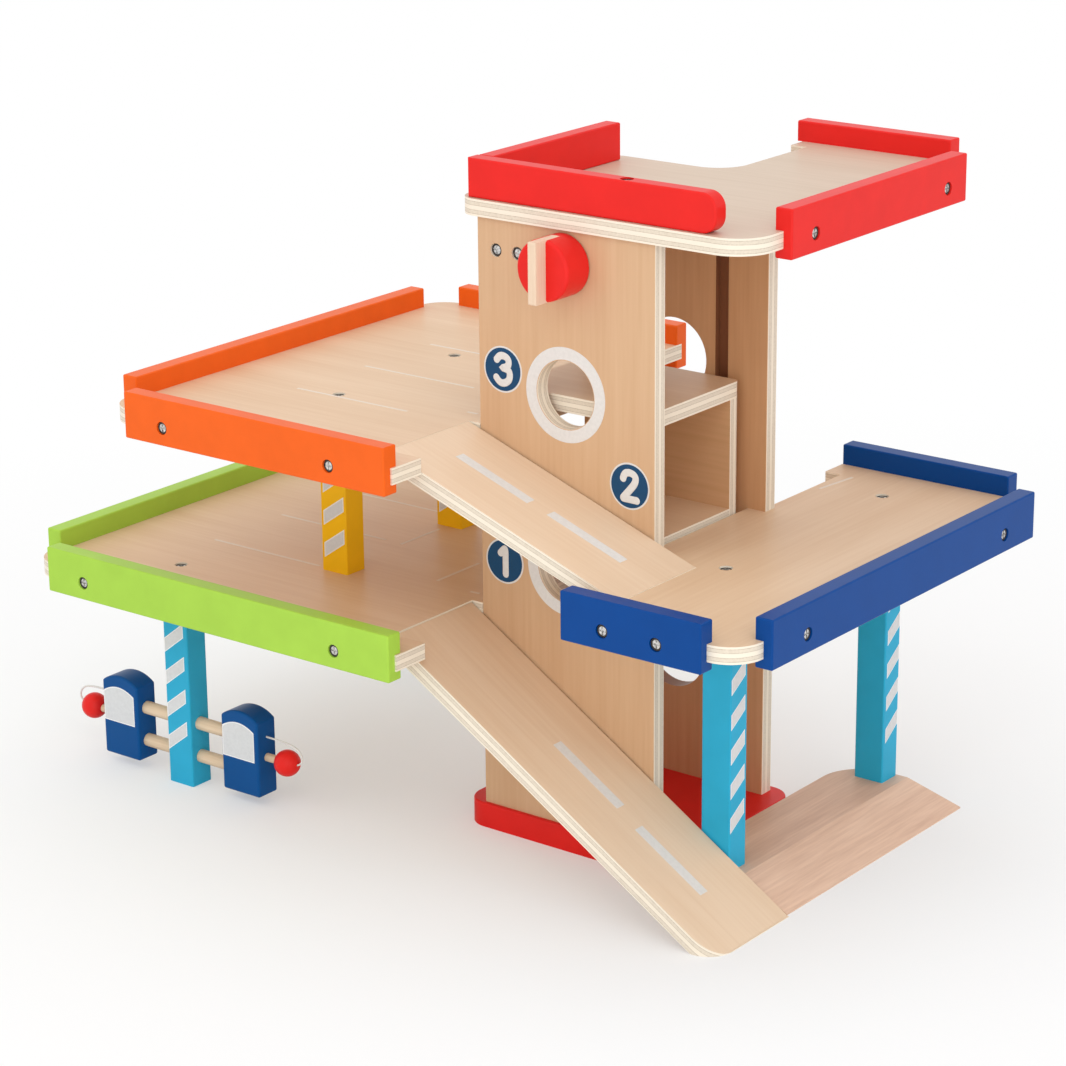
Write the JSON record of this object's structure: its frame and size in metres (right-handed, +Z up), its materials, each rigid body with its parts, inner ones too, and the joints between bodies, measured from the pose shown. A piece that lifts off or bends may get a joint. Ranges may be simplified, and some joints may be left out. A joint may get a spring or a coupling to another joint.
{
  "type": "toy parking garage with lift",
  "caption": "Wooden toy parking garage: railed decks on pillars round a tower with a knob-driven lift, two ramps, an entry plate and a pump island.",
  "frame": {"origin": "on the floor under the middle of the lift tower", "axes": "+X towards the foot of the ramps, +Y towards the tower's back panel, +Z up"},
  "size_m": [0.5248, 0.3458, 0.394],
  "materials": {
    "plywood": "clear matt lacquer over birch plywood, ply edges bare",
    "beech": "clear matt lacquer over beech, grain along Y",
    "dowel_wood": "clear matt lacquer over turned wood",
    "green_paint": "satin paint on wood",
    "orange_paint": "satin paint on wood",
    "blue_paint": "satin paint on wood",
    "red_paint": "satin paint on wood",
    "light_blue_paint": "satin paint on wood, white diagonal stripes",
    "yellow_paint": "satin paint on wood, white diagonal stripes",
    "pump_paint": "satin paint on wood, white panel",
    "steel_screws": "zinc-plated",
    "cord_white": "braided cord"
  },
  "bodies": {
    "garage": {"back_panel": "plywood", "base_plate": "red_paint", "blue_back_pillar": "light_blue_paint", "blue_back_rail": "blue_paint", "blue_deck": "plywood", "blue_front_pillar": "light_blue_paint", "blue_front_rail": "blue_paint", "blue_right_rail": "blue_paint", "bracket_screws": "steel_screws", "deck_screws": "steel_screws", "entry_plate": "beech", "front_panel": "plywood", "green_back_pillar": "light_blue_paint", "green_back_rail": "green_paint", "green_deck": "plywood", "green_front_rail": "green_paint", "green_left_rail": "green_paint", "hoist_cord": "cord_white", "left_pump": "pump_paint", "lower_ramp": "plywood", "orange_back_rail": "orange_paint", "orange_deck": "plywood", "orange_front_rail": "orange_paint", "orange_left_rail": "orange_paint", "pump_dowels": "dowel_wood", "pump_pillar": "light_blue_paint", "rail_screws": "steel_screws", "red_back_rail": "red_paint", "red_deck": "plywood", "red_front_rail": "red_paint", "red_left_rail": "red_paint", "red_right_rail": "red_paint", "right_pump": "pump_paint", "shaft_bracket": "dowel_wood", "top_rail_screw": "steel_screws", "upper_ramp": "plywood", "yellow_back_pillar": "yellow_paint", "yellow_front_pillar": "yellow_paint"},
    "lift": {"lift_floor": "plywood", "lift_roof": "plywood", "lift_back": "plywood", "guide_runner": "dowel_wood", "cord_anchor": "dowel_wood"},
    "knob": {"knob_disc": "red_paint", "knob_bar": "dowel_wood", "knob_shaft": "dowel_wood", "cord_spool": "dowel_wood"},
    "left_nozzle": {"left_nozzle_ball": "red_paint", "left_nozzle_stick": "dowel_wood", "left_tether": "cord_white"},
    "right_nozzle": {"right_nozzle_ball": "red_paint", "right_nozzle_stick": "dowel_wood", "right_tether": "cord_white"}
  },
  "joints": [
    {"name": "lift_slide", "type": "slide", "parent": "garage", "child": "lift", "axis": [0, 0, 1], "range_m": [-0.167, 0.052], "deforming": ["hoist_cord"]},
    {"name": "knob_turn", "type": "hinge", "parent": "garage", "child": "knob", "pos_m": [0, -0.056, 0.3435], "axis": [0, 1, 0], "range_deg": [-960, 300]},
    {"name": "left_nozzle_pull", "type": "slide", "parent": "garage", "child": "left_nozzle", "axis": [-1, 0, 0], "range_m": [0, 0.014]},
    {"name": "right_nozzle_pull", "type": "slide", "parent": "garage", "child": "right_nozzle", "axis": [1, 0, 0], "range_m": [0, 0.014]}
  ],
  "couplings": [
    {"joint": "knob_turn", "follows": "lift_slide", "rad_per_m": 100}
  ]
}
